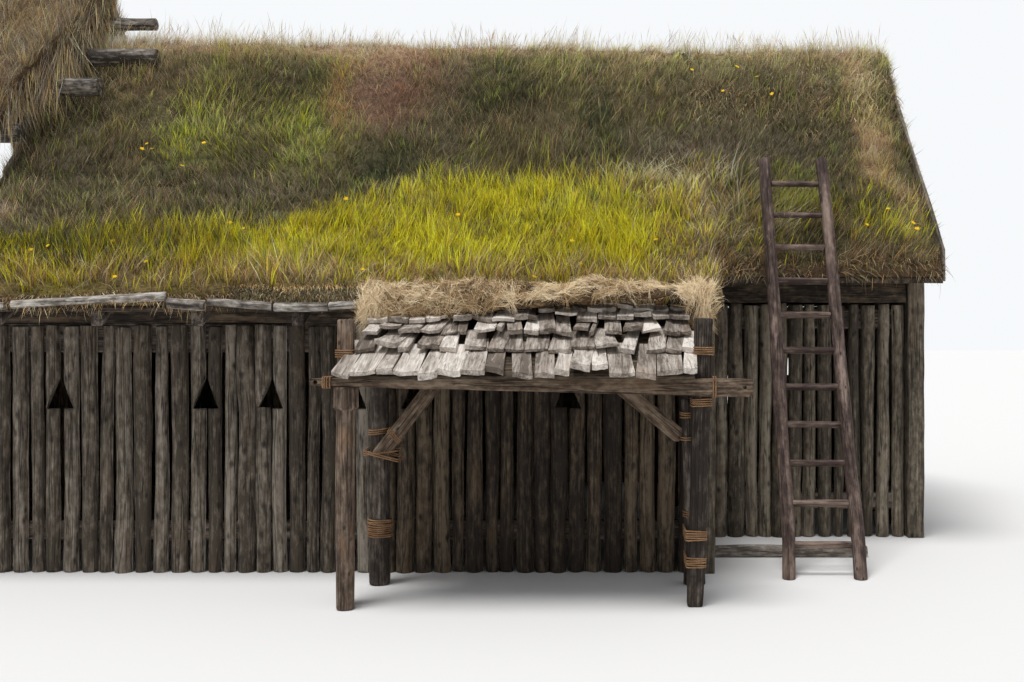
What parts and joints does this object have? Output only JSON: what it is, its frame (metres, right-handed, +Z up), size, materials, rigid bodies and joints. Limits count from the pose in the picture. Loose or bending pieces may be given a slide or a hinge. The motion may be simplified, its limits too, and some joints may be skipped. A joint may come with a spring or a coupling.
{
  "type": "turf-roofed longhouse",
  "caption": "Low house of split upright logs under a thick turf roof, with a low front aisle, a shingled porch on roped posts, a ladder at the eave and a taller roofed passage at the end.",
  "frame": {"origin": "on the ground, at the centre of the whole house's box", "axes": "+X along the ridge towards the gable by the ladder, -Y is the porch side, +Z up"},
  "size_m": [9.83, 6.85, 5.5939],
  "materials": {
    "grey_logs": "weathered bare wood",
    "dark_wood": "smoked bare wood",
    "brown_wood": "bare wood",
    "pale_wood": "silvered bare wood",
    "birch": "bark",
    "green_turf": "grass on peat",
    "dry_turf": "dry grass on peat",
    "hay": "loose hay",
    "rope": "twisted fibre rope",
    "ladder_wood": "peeled poles"
  },
  "bodies": {
    "root": {"front_wall_left": "grey_logs", "front_wall_middle": "dark_wood", "front_wall_right": "grey_logs", "return_wall": "grey_logs", "right_gable_wall": "grey_logs", "left_gable_wall": "grey_logs", "back_wall_left": "grey_logs", "back_wall_right": "grey_logs", "door_frame": "brown_wood", "corner_posts": "grey_logs", "front_rails": "dark_wood", "other_rails": "dark_wood", "top_planks": "brown_wood", "wall_plates": "dark_wood", "arcade_beam": "brown_wood", "inner_posts": "brown_wood", "ridge_beam": "brown_wood", "main_rafters_front": "dark_wood", "main_rafters_back": "dark_wood", "aisle_rafters": "dark_wood", "deck_front": "brown_wood", "deck_back": "brown_wood", "deck_aisle": "brown_wood", "turf_front": "green_turf", "turf_right": "dry_turf", "turf_back": "green_turf", "turf_aisle": "green_turf", "verge_boards": "pale_wood", "eave_poles": "birch", "sill_log": "birch", "porch_beam": "brown_wood", "porch_front_posts": "dark_wood", "porch_rear_frame": "dark_wood", "porch_braces": "pale_wood", "porch_rafters": "dark_wood", "porch_boards": "brown_wood", "porch_shingles": "pale_wood", "porch_hay": "hay", "rope_lashings": "rope", "ladder_rails": "ladder_wood", "ladder_rungs": "ladder_wood", "passage_frame": "brown_wood", "passage_purlins": "birch", "passage_deck": "brown_wood", "passage_turf": "dry_turf"}
  },
  "joints": []
}
